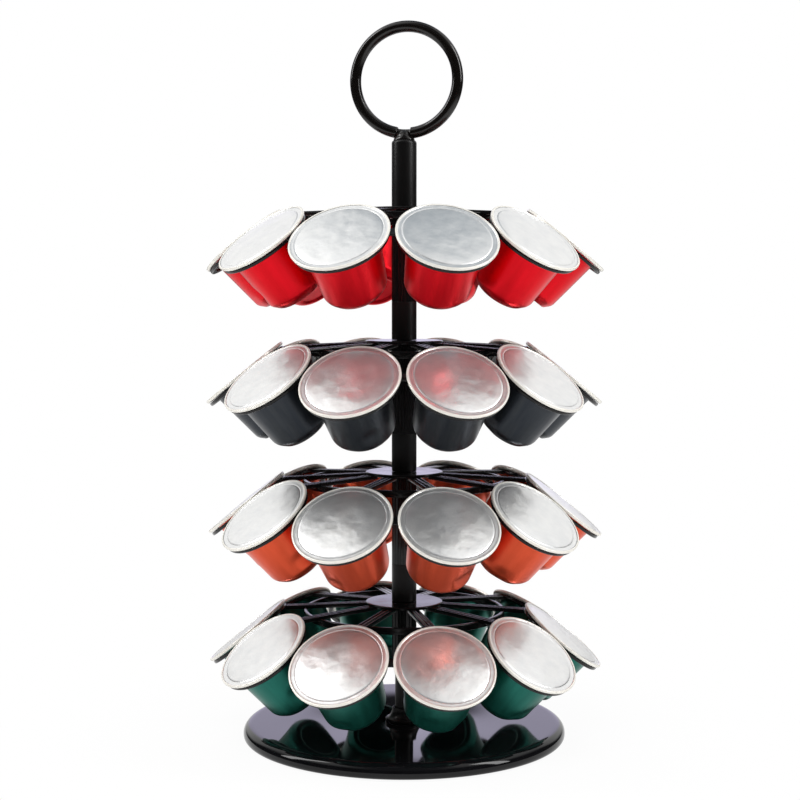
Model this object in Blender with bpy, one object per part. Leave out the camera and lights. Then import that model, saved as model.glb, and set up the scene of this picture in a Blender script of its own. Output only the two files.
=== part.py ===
"""A turning stand for coffee capsules: a weighted base, a pole and four tiers of tilted cups.

Metres, +Z up. The origin is on the pole's axis, on the surface that the stand rests on.
Heights inside a tier are measured from the plane of its capsules' lid centres.
"""

import math

import bmesh
import bpy
from mathutils import Matrix, Vector

# Fits and facets
SEAT_GAP = 0.0003
MERGE_DISTANCE = 0.000001
CAPSULE_SIDES = 10
CUP_SIDES = 10
HUB_SIDES = 16
HOOP_SIDES = 16
POLE_SIDES = 12
BASE_SIDES = 32
PAD_SIDES = 20
HANDLE_SIDES = 20
WIRE_SIDES = 8
EDGE_STEPS = 2
FLARE_STEPS = 2
SMOOTH_ANGLE = math.radians(50)

# Capsule, the standard small size that the cups are made for
CAPSULE_FLANGE_RADIUS = 0.0185
CAPSULE_FLANGE_THICKNESS = 0.0012
CAPSULE_BODY_RADIUS = 0.0141
CAPSULE_SHOULDER_RADIUS = 0.0117
CAPSULE_BOTTOM_RADIUS = 0.0090
CAPSULE_SHOULDER_HEIGHT = 0.0026
CAPSULE_HEIGHT = 0.0256

# Cups and tiers
CUPS_PER_TIER = 10
CUP_CIRCLE_RADIUS = 0.0614
CUP_LEAN = math.radians(39.0)
CUP_WALL = 0.0018
CUP_HEIGHT = 0.0013
CUP_INNER_RADIUS = 0.0160
TIER_PITCH = 0.0503
LOWEST_TIER_ABOVE_BASE = 0.0349
TIER_TURNS_DEG = (-4.35, -2.89, -0.07, -3.75)
TIER_COLOURS = ("green", "orange", "dark", "red")

# Hub, arms and the hoop that ties the arms
HUB_DISC_RADIUS = 0.0148
HUB_DISC_THICKNESS = 0.0012
HUB_TOP_ABOVE_LIDS = 0.0120
SLEEVE_LENGTH = 0.0343
LOWEST_SLEEVE_LENGTH = 0.0211
ARM_WIDTH = 0.0040
ARM_THICKNESS = 0.0015
ARM_GROOVE_DEPTH = 0.0005
ARM_ROOT_OVERLAP = 0.0015
ARM_ROOT_SINK = 0.00015
HOOP_RADIUS = 0.0380
HOOP_THICKNESS = 0.0014
HOOP_HEIGHT = 0.0026
HOOP_OVERLAP = 0.0007
WEB_LENGTH = 0.0036
WEB_HEIGHT = 0.0009
WEB_OVERLAP = 0.0008

# Base and its pad
BASE_RADIUS = 0.0621
BASE_THICKNESS = 0.0055
BASE_EDGE_RADIUS = 0.0016
PAD_PROUD = 0.0005
PAD_THICKNESS = 0.0009
PAD_RIM = 0.0055
PAD_HOLE_RADIUS = 0.0110
SCREW_POCKET_RADIUS = 0.0088
SCREW_POCKET_DEPTH = 0.0025

# Turning joint in the base
BUSH_RADIUS = 0.0050
ROD_RADIUS = 0.0026
THRUST_WASHER_THICKNESS = 0.0006
RETAINING_WASHER_RADIUS = 0.0075
RETAINING_WASHER_THICKNESS = 0.0006
SCREW_RADIUS = 0.0015
SCREW_HEAD_RADIUS = 0.0045
SCREW_HEAD_HEIGHT = 0.0009
SCREW_HEAD_CHAMFER = 0.0004
SCREW_REACH = 0.0170
COLLAR_RADIUS = 0.0072
COLLAR_TOP_WALL = 0.0006
COLLAR_HEIGHT = 0.0051
COLLAR_RIM_HEIGHT = 0.0010

# Pole and handle
POLE_RADIUS = 0.00475
SPINDLE_RADIUS = 0.0035
TOP_TUBE_EDGE_RADIUS = 0.0014
SOCKET_DEPTH = 0.0120
WELD_RADIUS = 0.0040
WELD_TOP_RADIUS = 0.0029
WELD_HEIGHT = 0.0025
HANDLE_RING_RADIUS = 0.0200
HANDLE_WIRE_RADIUS = 0.00215
HANDLE_CENTRE_ABOVE_TOP_LIDS = 0.0600
HANDLE_OFFSET = 0.0008
HANDLE_TURN = math.radians(-15.7)

# Places that follow from the sizes above
BASE_TOP = PAD_PROUD + BASE_THICKNESS
LOWEST_LIDS = BASE_TOP + LOWEST_TIER_ABOVE_BASE
TOP_LIDS = LOWEST_LIDS + TIER_PITCH * (len(TIER_COLOURS) - 1)
CUP_STEP = 2 * math.pi / CUPS_PER_TIER
CUP_TOP = -CAPSULE_FLANGE_THICKNESS - SEAT_GAP
CUP_MIDDLE = CUP_TOP - CUP_HEIGHT / 2
CUP_OUTER_RADIUS = CUP_INNER_RADIUS + CUP_WALL
WEB_MIDDLE = CUP_TOP - CUP_HEIGHT + WEB_HEIGHT / 2
DISC_UNDERSIDE = HUB_TOP_ABOVE_LIDS - HUB_DISC_THICKNESS
PAD_RECESS_DEPTH = PAD_THICKNESS + SEAT_GAP - PAD_PROUD
POCKET_CEILING = PAD_PROUD + SCREW_POCKET_DEPTH
RETAINING_WASHER_BOTTOM = POCKET_CEILING - SEAT_GAP - RETAINING_WASHER_THICKNESS
JOURNAL_END = POCKET_CEILING
SCREW_TIP = JOURNAL_END + SCREW_REACH
COLLAR_RECESS = THRUST_WASHER_THICKNESS + 2 * SEAT_GAP
SPINDLE_FOOT = BASE_TOP + COLLAR_RECESS
SPINDLE_SHOULDER = LOWEST_LIDS + DISC_UNDERSIDE - LOWEST_SLEEVE_LENGTH - SEAT_GAP
TOP_TUBE_FOOT = TOP_LIDS + HUB_TOP_ABOVE_LIDS + SEAT_GAP
ROD_TOP = TOP_TUBE_FOOT + SOCKET_DEPTH - SEAT_GAP
HANDLE_CENTRE = TOP_LIDS + HANDLE_CENTRE_ABOVE_TOP_LIDS
TOP_TUBE_END = HANDLE_CENTRE - HANDLE_RING_RADIUS - HANDLE_WIRE_RADIUS - SEAT_GAP


def clear_bore(radius, sides):
    """The corner radius of a faceted bore whose flats clear a round piece by the seat gap."""
    return (radius + SEAT_GAP) / math.cos(math.pi / sides)


def clear_scene():
    for thing in list(bpy.data.objects):
        bpy.data.objects.remove(thing, do_unlink=True)


def material(name, colour, roughness, metallic):
    made = bpy.data.materials.new(name)
    made.use_nodes = True
    shader = made.node_tree.nodes["Principled BSDF"]
    shader.inputs["Base Color"].default_value = (*colour, 1)
    shader.inputs["Roughness"].default_value = roughness
    shader.inputs["Metallic"].default_value = metallic
    return made


def finished_mesh(shape, name):
    """Turns a bmesh into a mesh with merged corners and its faces pointing out."""
    bmesh.ops.remove_doubles(shape, verts=shape.verts, dist=MERGE_DISTANCE)
    bmesh.ops.recalc_face_normals(shape, faces=shape.faces)
    mesh = bpy.data.meshes.new(name)
    shape.to_mesh(mesh)
    shape.free()
    return mesh


def turned(name, outline, sides, closed=False):
    """A solid turned about local Z from (radius, height) points.

    A closed outline makes a ring, and the ends of an open one get flat round faces.
    """
    shape = bmesh.new()
    corners = [shape.verts.new((radius, 0, height)) for radius, height in outline]
    edges = [shape.edges.new(pair) for pair in zip(corners, corners[1:])]
    if closed:
        edges.append(shape.edges.new((corners[-1], corners[0])))
    bmesh.ops.spin(
        shape,
        geom=corners + edges,
        cent=(0, 0, 0),
        axis=(0, 0, 1),
        angle=2 * math.pi,
        steps=sides,
        use_merge=True,
        use_duplicate=False,
    )
    bmesh.ops.holes_fill(shape, edges=shape.edges)
    return finished_mesh(shape, name)


def pipe(name, inner, outer, bottom, top, sides):
    """A plain ring or tube between two heights."""
    outline = ((inner, top), (outer, top), (outer, bottom), (inner, bottom))
    return turned(name, outline, sides, closed=True)


def rounded_edge(radius, height, edge, steps):
    """Points round a convex outer edge, from the flat top to the upright side."""
    turns = [math.pi / 2 * step / steps for step in range(steps + 1)]
    return [
        (radius - edge + edge * math.sin(turn), height - edge + edge * math.cos(turn))
        for turn in turns
    ]


def bar(name, section, start, end):
    """A straight bar with a closed (across, up) section, from one point to another along Y."""
    shape = bmesh.new()
    corners = [shape.verts.new((across, start.y, start.z + up)) for across, up in section]
    face = shape.faces.new(corners)
    grown = bmesh.ops.extrude_face_region(shape, geom=[face])
    moved = [item for item in grown["geom"] if isinstance(item, bmesh.types.BMVert)]
    bmesh.ops.translate(shape, verts=moved, vec=end - start)
    return finished_mesh(shape, name)


def block(name, width, length, height):
    """A box centred on its own origin."""
    shape = bmesh.new()
    bmesh.ops.create_cube(shape, size=1, matrix=Matrix.Diagonal((width, length, height, 1)))
    return finished_mesh(shape, name)


def combined(name, copies):
    """One mesh from (mesh, matrix) pairs that don't touch each other."""
    shape = bmesh.new()
    for mesh, matrix in copies:
        known = len(shape.verts)
        shape.from_mesh(mesh)
        shape.verts.ensure_lookup_table()
        bmesh.ops.transform(shape, matrix=matrix, verts=shape.verts[known:])
    return finished_mesh(shape, name)


def with_booleans(name, body, tools, operation):
    """Applies exact booleans to a mesh, one tool mesh after the other."""
    helpers = [bpy.data.objects.new(name + "_helper", mesh) for mesh in (body, *tools)]
    for helper in helpers:
        bpy.context.scene.collection.objects.link(helper)
        helper.display_type = "WIRE"
        helper.hide_render = True
    for tool in helpers[1:]:
        step = helpers[0].modifiers.new(operation.lower(), "BOOLEAN")
        step.operation = operation
        step.solver = "EXACT"
        step.object = tool
    evaluated = helpers[0].evaluated_get(bpy.context.evaluated_depsgraph_get())
    mesh = bpy.data.meshes.new_from_object(evaluated)
    mesh.name = name
    for helper in helpers:
        bpy.data.objects.remove(helper, do_unlink=True)
    return mesh


def empty(name):
    made = bpy.data.objects.new(name, None)
    bpy.context.scene.collection.objects.link(made)
    return made


def place(name, mesh, finish, parent, height=0.0, matrix=None):
    """Adds one named piece, with smooth round faces and its own material slot."""
    piece = bpy.data.objects.new(name, mesh)
    bpy.context.scene.collection.objects.link(piece)
    if not mesh.materials:
        mesh.materials.append(finish)
        mesh.shade_smooth()
        mesh.set_sharp_from_angle(angle=SMOOTH_ANGLE)
    piece.parent = parent
    piece.matrix_local = matrix if matrix is not None else Matrix.Translation((0, 0, height))
    return piece


def capsule_mesh(colour):
    """Flange, tapered cup and rounded foot of one sealed capsule, lid centre at the origin."""
    shoulder = CAPSULE_SHOULDER_HEIGHT - CAPSULE_HEIGHT
    outline = (
        (CAPSULE_FLANGE_RADIUS, 0),
        (CAPSULE_FLANGE_RADIUS, -CAPSULE_FLANGE_THICKNESS),
        (CAPSULE_BODY_RADIUS, -CAPSULE_FLANGE_THICKNESS),
        (CAPSULE_SHOULDER_RADIUS, shoulder),
        (CAPSULE_BOTTOM_RADIUS, -CAPSULE_HEIGHT),
    )
    return turned(colour + "_capsule", outline, CAPSULE_SIDES)


def cup_frame(index):
    """Lid centre and lean of one cup, seen from the middle of its tier."""
    azimuth = CUP_STEP * (index + 0.5)
    outward = Matrix.Translation((0, -CUP_CIRCLE_RADIUS, 0))
    return Matrix.Rotation(azimuth, 4, "Z") @ outward @ Matrix.Rotation(CUP_LEAN, 4, "X")


def neighbour_meeting():
    """From a cup's middle to the plane halfway to the next cup, at the height of the webs: reach and point."""
    half = CUP_STEP / 2
    rise = math.atan(math.cos(CUP_LEAN) * math.tan(half))
    lean_back = math.sin(rise) * math.cos(CUP_LEAN) * math.sin(half)
    centre_radius = CUP_CIRCLE_RADIUS + WEB_MIDDLE * math.sin(CUP_LEAN)
    reach = centre_radius * math.sin(half) / (lean_back + math.cos(rise) * math.cos(half))
    return reach, Vector((reach * math.cos(rise), reach * math.sin(rise), WEB_MIDDLE))


def web_frame(index):
    """Where a cup and the next one come closest, leaning halfway between the two."""
    meeting = cup_frame(index) @ neighbour_meeting()[1]
    turn = Matrix.Rotation(CUP_STEP * (index + 1), 4, "Z")
    return Matrix.Translation(meeting) @ turn @ Matrix.Rotation(CUP_LEAN, 4, "X")


def cups_mesh():
    """The open rings that the capsules hang in."""
    ring = pipe("cup", CUP_INNER_RADIUS, CUP_OUTER_RADIUS, CUP_TOP - CUP_HEIGHT, CUP_TOP, CUP_SIDES)
    return combined("cups", [(ring, cup_frame(index)) for index in range(CUPS_PER_TIER)])


def webs_mesh():
    """Short ties between neighbouring cups, whose ends run into the cup walls."""
    reach = neighbour_meeting()[0]
    wall = CUP_OUTER_RADIUS * math.cos(math.pi / CUP_SIDES)
    tie = block("web", 2 * (reach - wall + WEB_OVERLAP), WEB_LENGTH, WEB_HEIGHT)
    return combined("webs", [(tie, web_frame(index)) for index in range(CUPS_PER_TIER)])


def arm_ends():
    """Where an arm's middle line leaves the hub and where it enters the cup wall."""
    groove_height = ARM_THICKNESS / 2 - ARM_GROOVE_DEPTH
    root = Vector((0, ARM_ROOT_OVERLAP - HUB_DISC_RADIUS, DISC_UNDERSIDE + ARM_ROOT_SINK - groove_height))
    wall_middle = (CUP_INNER_RADIUS + CUP_WALL / 2) * math.cos(math.pi / CUP_SIDES)
    lean = Matrix.Rotation(CUP_LEAN, 4, "X")
    tip = lean @ Vector((0, wall_middle, CUP_MIDDLE)) - Vector((0, CUP_CIRCLE_RADIUS, 0))
    return root, tip


def arms_mesh():
    """The ribbed arms from the hub disc to the cups, each with two grooves between three ridges."""
    edge = ARM_WIDTH / 2
    top = ARM_THICKNESS / 2
    floor = top - ARM_GROOVE_DEPTH
    ridges = [(edge, top), (edge / 2, floor), (0, top), (-edge / 2, floor), (-edge, top)]
    section = [(edge, -top), *ridges, (-edge, -top)]
    root, tip = arm_ends()
    arm = bar("arm", section, root, tip)
    turns = [CUP_STEP * (index + 0.5) for index in range(CUPS_PER_TIER)]
    return combined("arms", [(arm, Matrix.Rotation(turn, 4, "Z")) for turn in turns])


def hoop_mesh():
    """The flat hoop under the arms, whose top runs a little way up into them."""
    root, tip = arm_ends()
    share = (HOOP_RADIUS + root.y) / (root.y - tip.y)
    arm_underside = root.z + (tip.z - root.z) * share - ARM_THICKNESS / 2
    top = arm_underside + HOOP_OVERLAP
    inner = HOOP_RADIUS - HOOP_THICKNESS / 2
    outer = HOOP_RADIUS + HOOP_THICKNESS / 2
    return pipe("hoop", inner, outer, top - HOOP_HEIGHT, top, HOOP_SIDES)


def hub_mesh(sleeve_length):
    """The flat disc and the sleeve that slides over the pole's rod."""
    bore = clear_bore(ROD_RADIUS, HUB_SIDES)
    foot = DISC_UNDERSIDE - sleeve_length
    outline = (
        (bore, HUB_TOP_ABOVE_LIDS),
        (HUB_DISC_RADIUS, HUB_TOP_ABOVE_LIDS),
        (HUB_DISC_RADIUS, DISC_UNDERSIDE),
        (POLE_RADIUS, DISC_UNDERSIDE),
        (POLE_RADIUS, foot),
        (bore, foot),
    )
    return turned("hub", outline, HUB_SIDES, closed=True)


def tier_mesh(name, sleeve_length):
    """One moulded tier: hub, arms, hoop, cups and the webs between the cups."""
    parts = (arms_mesh(), hoop_mesh(), cups_mesh(), webs_mesh())
    return with_booleans(name, hub_mesh(sleeve_length), parts, "UNION")


def base_plate_mesh():
    """A heavy disc with a rounded edge, a shallow recess for the pad and a pocket for the screw."""
    bore = clear_bore(BUSH_RADIUS, BASE_SIDES)
    outline = [(bore, BASE_THICKNESS)]
    outline += rounded_edge(BASE_RADIUS, BASE_THICKNESS, BASE_EDGE_RADIUS, EDGE_STEPS)
    outline += [
        (BASE_RADIUS, 0),
        (BASE_RADIUS - PAD_RIM, 0),
        (BASE_RADIUS - PAD_RIM, PAD_RECESS_DEPTH),
        (SCREW_POCKET_RADIUS, PAD_RECESS_DEPTH),
        (SCREW_POCKET_RADIUS, SCREW_POCKET_DEPTH),
        (bore, SCREW_POCKET_DEPTH),
    ]
    return turned("base_plate", outline, BASE_SIDES, closed=True)


def collar_mesh():
    """A small flared collar that hides the bearing where the pole meets the base."""
    washer_room = clear_bore(BUSH_RADIUS, POLE_SIDES)
    bore = clear_bore(SPINDLE_RADIUS, POLE_SIDES)
    top_radius = bore + COLLAR_TOP_WALL
    flare = COLLAR_RADIUS - top_radius
    drop = COLLAR_HEIGHT - COLLAR_RIM_HEIGHT
    outline = [(bore, COLLAR_HEIGHT)]
    for step in range(FLARE_STEPS + 1):
        turn = math.pi / 2 * step / FLARE_STEPS
        outline.append((COLLAR_RADIUS - flare * math.cos(turn), COLLAR_HEIGHT - drop * math.sin(turn)))
    outline += [(COLLAR_RADIUS, 0), (washer_room, 0)]
    outline += [(washer_room, COLLAR_RECESS), (bore, COLLAR_RECESS)]
    return turned("foot_collar", outline, POLE_SIDES, closed=True)


def spindle_mesh():
    """The long turned rod: a journal in the base, a thicker foot, and the thin rod through the tiers."""
    screw_hole = clear_bore(SCREW_RADIUS, POLE_SIDES)
    outline = (
        (ROD_RADIUS, ROD_TOP),
        (ROD_RADIUS, SPINDLE_SHOULDER),
        (SPINDLE_RADIUS, SPINDLE_SHOULDER),
        (SPINDLE_RADIUS, SPINDLE_FOOT),
        (ROD_RADIUS, SPINDLE_FOOT),
        (ROD_RADIUS, JOURNAL_END),
        (screw_hole, JOURNAL_END),
        (screw_hole, SCREW_TIP + SEAT_GAP),
    )
    return turned("centre_spindle", outline, POLE_SIDES)


def screw_mesh():
    """The pan-headed screw that comes up through the base into the spindle."""
    head_top = RETAINING_WASHER_BOTTOM - SEAT_GAP
    head_bottom = head_top - SCREW_HEAD_HEIGHT
    outline = (
        (SCREW_RADIUS, SCREW_TIP),
        (SCREW_RADIUS, head_top),
        (SCREW_HEAD_RADIUS, head_top),
        (SCREW_HEAD_RADIUS, head_bottom + SCREW_HEAD_CHAMFER),
        (SCREW_HEAD_RADIUS - SCREW_HEAD_CHAMFER, head_bottom),
    )
    return turned("pivot_screw", outline, POLE_SIDES)


def retaining_washer_mesh():
    """The washer under the base plate that keeps the spindle from lifting out."""
    hole = clear_bore(SCREW_RADIUS, POLE_SIDES)
    thickness = RETAINING_WASHER_THICKNESS
    return pipe("retaining_washer", hole, RETAINING_WASHER_RADIUS, 0, thickness, POLE_SIDES)


def spacer_mesh():
    """A plain tube between one tier's disc and the next tier's sleeve."""
    bore = clear_bore(ROD_RADIUS, POLE_SIDES)
    length = TIER_PITCH - HUB_DISC_THICKNESS - SLEEVE_LENGTH - 2 * SEAT_GAP
    return pipe("spacer_tube", bore, POLE_RADIUS, 0, length, POLE_SIDES)


def handle_mesh(name, wire_radius):
    """A round wire bent into a ring, standing upright on its lowest point."""
    turns = [2 * math.pi * step / WIRE_SIDES for step in range(WIRE_SIDES)]
    outline = [
        (HANDLE_RING_RADIUS + wire_radius * math.cos(turn), wire_radius * math.sin(turn))
        for turn in reversed(turns)
    ]
    return turned(name, outline, HANDLE_SIDES, closed=True)


def handle_frame(height):
    """The ring's centre, a little to one side of the pole, with the ring upright and turned."""
    upright = Matrix.Rotation(math.pi / 2, 4, "X") @ Matrix.Rotation(math.pi / 2, 4, "Z")
    aside = Matrix.Translation((HANDLE_OFFSET, 0, 0))
    return Matrix.Translation((0, 0, height)) @ Matrix.Rotation(HANDLE_TURN, 4, "Z") @ aside @ upright


def top_tube_mesh():
    """The top length of the pole, with a blind socket below and a mound of weld round the ring above."""
    bore = clear_bore(ROD_RADIUS, POLE_SIDES)
    length = TOP_TUBE_END - TOP_TUBE_FOOT
    outline = [(WELD_TOP_RADIUS, length + WELD_HEIGHT), (WELD_RADIUS, length)]
    outline += rounded_edge(POLE_RADIUS, length, TOP_TUBE_EDGE_RADIUS, EDGE_STEPS)[1:]
    outline += [(POLE_RADIUS, 0), (bore, 0), (bore, SOCKET_DEPTH)]
    rod = turned("top_tube_blank", outline, POLE_SIDES)
    ring = handle_mesh("saddle_cutter", clear_bore(HANDLE_WIRE_RADIUS, WIRE_SIDES))
    ring.transform(handle_frame(HANDLE_CENTRE - TOP_TUBE_FOOT))
    return with_booleans("top_tube", rod, (ring,), "DIFFERENCE")


def make_base(gloss_black, rubber, nylon):
    """The base that stands still: plate, pad, bush, washer and collar."""
    base = empty("base")
    place("base_plate", base_plate_mesh(), gloss_black, base, PAD_PROUD)
    pad_outer = BASE_RADIUS - PAD_RIM - SEAT_GAP
    pad = pipe("base_pad", PAD_HOLE_RADIUS, pad_outer, 0, PAD_THICKNESS, PAD_SIDES)
    place("base_pad", pad, rubber, base)
    bore = clear_bore(ROD_RADIUS, POLE_SIDES)
    bush = pipe("bearing_bush", bore, BUSH_RADIUS, 0, BASE_THICKNESS - SCREW_POCKET_DEPTH, POLE_SIDES)
    place("bearing_bush", bush, nylon, base, POCKET_CEILING)
    washer = pipe("thrust_washer", bore, BUSH_RADIUS, 0, THRUST_WASHER_THICKNESS, POLE_SIDES)
    place("thrust_washer", washer, nylon, base, BASE_TOP + SEAT_GAP)
    place("foot_collar", collar_mesh(), gloss_black, base, BASE_TOP + SEAT_GAP)


def make_pole(carousel, black_metal, steel):
    """The pole that turns: spindle, its screw and washer, spacers, top tube and ring handle."""
    place("centre_spindle", spindle_mesh(), black_metal, carousel)
    place("pivot_screw", screw_mesh(), steel, carousel)
    place("retaining_washer", retaining_washer_mesh(), steel, carousel, RETAINING_WASHER_BOTTOM)
    spacer = spacer_mesh()
    for number in range(1, len(TIER_COLOURS)):
        lids = LOWEST_LIDS + TIER_PITCH * (number - 1)
        place(f"spacer_tube_{number}", spacer, black_metal, carousel, lids + HUB_TOP_ABOVE_LIDS + SEAT_GAP)
    place("top_tube", top_tube_mesh(), black_metal, carousel, TOP_TUBE_FOOT)
    ring = handle_mesh("handle_ring", HANDLE_WIRE_RADIUS)
    place("handle_ring", ring, black_metal, carousel, matrix=handle_frame(HANDLE_CENTRE))


def make_tiers(carousel, black_plastic, capsule_colours):
    """Four tiers, each a little turned from the next, with a capsule in every cup."""
    lowest = tier_mesh("lowest_tier", LOWEST_SLEEVE_LENGTH)
    upper = tier_mesh("upper_tier", SLEEVE_LENGTH)
    for level, colour in enumerate(TIER_COLOURS):
        height = Matrix.Translation((0, 0, LOWEST_LIDS + TIER_PITCH * level))
        turn = Matrix.Rotation(math.radians(TIER_TURNS_DEG[level]), 4, "Z")
        mesh = upper if level else lowest
        tier = place(f"tier_{level + 1}", mesh, black_plastic, carousel, matrix=height @ turn)
        foil = material(f"{colour}_capsule", capsule_colours[colour], 0.32, 0.6)
        capsule = capsule_mesh(colour)
        for index in range(CUPS_PER_TIER):
            place(f"{colour}_capsule_{index + 1:02d}", capsule, foil, tier, matrix=cup_frame(index))


def main():
    clear_scene()
    gloss_black = material("gloss_black_enamel", (0.008, 0.008, 0.011), 0.08, 0.0)
    black_metal = material("black_metal", (0.020, 0.019, 0.020), 0.28, 0.3)
    black_plastic = material("black_plastic", (0.012, 0.011, 0.012), 0.22, 0.0)
    rubber = material("dark_rubber", (0.02, 0.02, 0.02), 0.85, 0.0)
    nylon = material("white_nylon", (0.75, 0.74, 0.70), 0.45, 0.0)
    steel = material("zinc_steel", (0.55, 0.55, 0.56), 0.35, 1.0)
    capsule_colours = {
        "green": (0.008, 0.085, 0.062),
        "orange": (0.52, 0.085, 0.014),
        "dark": (0.022, 0.028, 0.038),
        "red": (0.60, 0.002, 0.010),
    }
    make_base(gloss_black, rubber, nylon)
    carousel = empty("carousel")
    make_pole(carousel, black_metal, steel)
    make_tiers(carousel, black_plastic, capsule_colours)


main()
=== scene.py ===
# %% [markdown]
# # A turning stand for coffee capsules
# The stand has a heavy round base, a pole with four tiers of ten tilted rings, forty sealed
# capsules and a ring handle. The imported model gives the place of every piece. This lesson
# dresses it: each visible piece is made again with round edges and fine detail, in the very
# place of the plain solid, and gets the finish of the real one.

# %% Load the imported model
import math
import random

import bmesh
import bpy
from mathutils import Matrix, Vector, noise


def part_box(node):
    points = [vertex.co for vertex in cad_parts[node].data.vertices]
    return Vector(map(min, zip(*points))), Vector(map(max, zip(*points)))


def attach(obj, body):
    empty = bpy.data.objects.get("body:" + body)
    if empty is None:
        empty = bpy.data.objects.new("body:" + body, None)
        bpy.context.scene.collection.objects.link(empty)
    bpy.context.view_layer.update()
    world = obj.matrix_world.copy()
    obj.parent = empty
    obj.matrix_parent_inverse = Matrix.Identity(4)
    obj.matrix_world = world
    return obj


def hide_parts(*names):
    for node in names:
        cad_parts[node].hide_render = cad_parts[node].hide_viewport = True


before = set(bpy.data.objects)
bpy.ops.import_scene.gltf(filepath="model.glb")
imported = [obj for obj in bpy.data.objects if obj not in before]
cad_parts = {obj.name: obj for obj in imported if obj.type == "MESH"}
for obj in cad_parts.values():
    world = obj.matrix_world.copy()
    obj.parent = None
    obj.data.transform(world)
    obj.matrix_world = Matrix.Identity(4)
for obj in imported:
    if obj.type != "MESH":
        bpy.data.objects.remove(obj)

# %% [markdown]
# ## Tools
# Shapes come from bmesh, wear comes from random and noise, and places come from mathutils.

scene = bpy.context.scene
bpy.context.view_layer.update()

# %% [markdown]
# ## The layout that the tiers share
# Every tier is the same moulding, set at its own height and turned by a few degrees of its
# own. So one frame for a tier and one for a cup in it place everything that repeats. They
# could be read from the solids, but written once here they also say how the stand is laid
# out: ten cups round the pole, leaning so that the lids face up and out.

# %% Tier and cup frames
TIER_COLOURS = ("green", "orange", "dark", "red")
TIER_TURNS_DEGREES = (-4.35, -2.89, -0.07, -3.75)
TIER_PITCH = 0.0503
CUPS_PER_TIER = 10
CUP_STEP = 2 * math.pi / CUPS_PER_TIER
CUP_CIRCLE_RADIUS = 0.0614
CUP_LEAN = math.radians(39.0)
LOWEST_LIDS_ABOVE_BASE = 0.0349
BASE_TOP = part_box("base_plate")[1].z
LOWEST_LIDS = BASE_TOP + LOWEST_LIDS_ABOVE_BASE


def tier_frame(level):
    """The middle of a tier at the height of its lid centres."""
    height = Matrix.Translation((0, 0, LOWEST_LIDS + TIER_PITCH * level))
    return height @ Matrix.Rotation(math.radians(TIER_TURNS_DEGREES[level]), 4, "Z")


def cup_frame(index):
    """The lid centre and lean of one cup, seen from the middle of its tier."""
    around = Matrix.Rotation(CUP_STEP * (index + 0.5), 4, "Z")
    outward = Matrix.Translation((0, -CUP_CIRCLE_RADIUS, 0))
    return around @ outward @ Matrix.Rotation(CUP_LEAN, 4, "X")


LEVELS = range(len(TIER_COLOURS))
print("lid heights", [round(tier_frame(level).translation.z, 4) for level in LEVELS])

# %% [markdown]
# ## Camera
# The photograph was taken almost level, a little above the middle of the stand, with a long
# lens. The place and the lens could be tried by eye, but they come from fitting the outlines
# of the lids in all four tiers, which also gave the sizes of the tiers. The small sideways
# shift keeps the pole where it stands in the picture, just right of the middle.

# %% Camera
LENS_MM = 76.23
SENSOR_MM = 36
LENS_SHIFT = -0.0052
CAMERA_PLACE = (0, -0.6472, 0.1766)
CAMERA_DIP_DEGREES = 4.07

camera_data = bpy.data.cameras.new("photo_camera")
camera_data.lens = LENS_MM
camera_data.sensor_width = SENSOR_MM
camera_data.shift_x = LENS_SHIFT
camera_data.dof.use_dof = False
camera = bpy.data.objects.new("photo_camera", camera_data)
scene.collection.objects.link(camera)
camera.location = CAMERA_PLACE
camera.rotation_euler = (math.radians(90 - CAMERA_DIP_DEGREES), 0, 0)
scene.camera = camera
scene.view_settings.view_transform = "Standard"
print("camera", tuple(camera.location), "lens", camera_data.lens)

# %% [markdown]
# ## Helpers for shader nodes
# Worlds and finishes are built from nodes and links. These few helpers make a node with its
# values, link two nodes, turn one range of values into another and mix two shaders. The
# same could be written out each time, but short calls keep the finishes easy to compare.


# %% Node helpers
def add_node(tree, kind, **settings):
    """A node with its settings, given by the name of an input or of a property."""
    node = tree.nodes.new(kind)
    for key, value in settings.items():
        if key in node.inputs:
            node.inputs[key].default_value = value
        else:
            setattr(node, key, value)
    return node


def join(tree, source, output, target, socket):
    """Links one node's output to another node's input."""
    tree.links.new(source.outputs[output], target.inputs[socket])


def value_range(tree, start, end, low=0.0, high=1.0, kind="SMOOTHSTEP"):
    """A node that goes from low to high while its value goes from start to end."""
    limits = {"From Min": start, "From Max": end, "To Min": low, "To Max": high}
    return add_node(tree, "ShaderNodeMapRange", interpolation_type=kind, **limits)


def mix_shaders(tree, share, first, second):
    """The first shader where the share is 0, and the second where it is 1."""
    mix = add_node(tree, "ShaderNodeMixShader")
    tree.links.new(share, mix.inputs[0])
    join(tree, first, 0, mix, 1)
    join(tree, second, 0, mix, 2)
    return mix


print("node helpers ready")

# %% [markdown]
# ## The studio
# The stand is photographed in a white studio. A picture of a studio could light it, but a few
# nodes do, and they can be changed one by one. The world has three looks: an even light for
# every matt surface, plain white for what is seen straight on, and a room of its own for
# gloss. That room is painted in soft round patches: white panels behind, a white ceiling
# with two lamps and some slate grey stretches, and darkness towards the camera. Black paint
# only looks black, and foil only looks like foil, when there is something dark to mirror.

# %% Three looks of the world
WHITE = (1, 1, 1, 1)
EVEN_LIGHT = 0.62

world = bpy.data.worlds.new("white_studio")
scene.world = world
world.use_nodes = True
sky = world.node_tree
sky.nodes.clear()
lit = add_node(sky, "ShaderNodeBackground", Color=WHITE, Strength=EVEN_LIGHT)
mirrored = add_node(sky, "ShaderNodeBackground", Strength=1.0)
seen = add_node(sky, "ShaderNodeBackground", Color=WHITE, Strength=1.0)
print("even light", EVEN_LIGHT)

# %% The room that gloss sees
DARK_ROOM = (0.02, 0.02, 0.021)
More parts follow.
